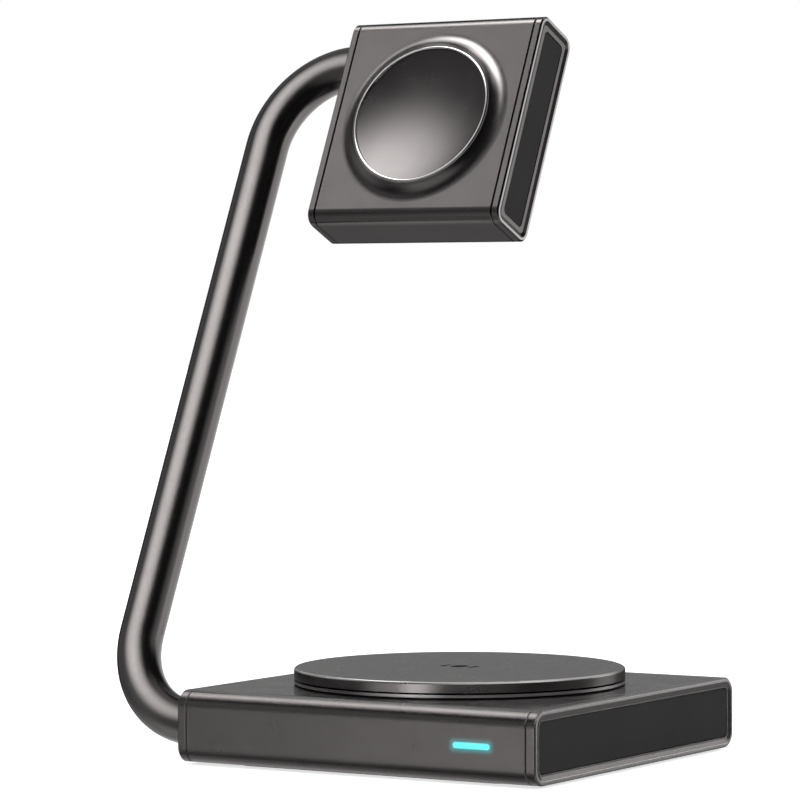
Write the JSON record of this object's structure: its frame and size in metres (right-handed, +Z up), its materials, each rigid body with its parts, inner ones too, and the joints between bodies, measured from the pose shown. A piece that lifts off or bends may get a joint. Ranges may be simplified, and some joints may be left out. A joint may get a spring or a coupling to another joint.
{
  "type": "foldable wireless charger",
  "caption": "Desktop wireless charger: a square base with a round pad, a bent tube arm that folds back flat, and a small tilting head with a dished face in a bright ring.",
  "frame": {"origin": "on the surface it stands on, under the middle of the base", "axes": "+X to the right along the base's front, +Y to the back, +Z up"},
  "size_m": [0.116, 0.09, 0.1656],
  "materials": {
    "sleeve_metal": "dark gunmetal, fine satin",
    "bezel_metal": "dark gunmetal with bright chamfers",
    "panel_black": "near black, fine texture",
    "pad_top": "gunmetal soft satin",
    "trim_bright": "bright turned edge",
    "tube_metal": "dark satin metallic lacquer",
    "dish_gloss": "gloss, hollow",
    "ring_chrome": "polished",
    "black_plastic": "moulded",
    "copper_coil": "wound, lacquered",
    "ferrite": "pressed",
    "steel": "plain",
    "circuit_board": "solder resist",
    "light": "lit cyan",
    "rubber": "matt",
    "bush_plastic": "plain",
    "bronze": "plain"
  },
  "bodies": {
    "base": {"base_sleeve": "sleeve_metal", "base_left_bezel": "bezel_metal", "base_right_bezel": "bezel_metal", "base_left_panel": "panel_black", "base_right_panel": "panel_black", "pad_cover": "pad_top", "pad_trim_ring": "trim_bright", "pad_carrier": "black_plastic", "pad_coil": "copper_coil", "pad_ferrite": "ferrite", "pad_clamp": "black_plastic", "pad_clamp_screws": "steel", "chassis_tray": "black_plastic", "tray_screws": "steel", "counterweight": "steel", "main_board": "circuit_board", "board_parts": "black_plastic", "board_screws": "steel", "inlet_shell": "steel", "inlet_tongue": "black_plastic", "light_guide": "light", "light_board": "circuit_board", "foot_mat": "rubber", "hinge_block": "steel", "hinge_screws": "steel", "base_bush": "bush_plastic", "base_washer": "bronze"},
    "arm": {"arm_tube": "tube_metal", "base_spindle": "steel", "base_springs": "steel", "base_nut": "steel", "head_spindle": "steel", "head_springs": "steel", "head_nut": "steel", "arm_wires": "black_plastic"},
    "head": {"head_sleeve": "sleeve_metal", "head_left_bezel": "bezel_metal", "head_right_bezel": "bezel_metal", "head_left_panel": "panel_black", "head_right_panel": "panel_black", "dish_ring": "ring_chrome", "dish_cover": "dish_gloss", "head_coil": "copper_coil", "head_ferrite": "ferrite", "head_magnet": "steel", "head_chassis": "black_plastic", "head_board": "circuit_board", "head_board_screws": "steel", "head_block": "steel", "head_bush": "bush_plastic", "head_washer": "bronze"}
  },
  "joints": [
    {"name": "arm_fold", "type": "hinge", "parent": "base", "child": "arm", "pos_m": [-0.045, -0.037, 0.0085], "axis": [-1, 0, 0], "range_deg": [-25, 64]},
    {"name": "head_tilt", "type": "hinge", "parent": "arm", "child": "head", "pos_m": [-0.045, 0.03168, 0.15578], "axis": [-1, 0, 0], "range_deg": [-30, 30]}
  ]
}
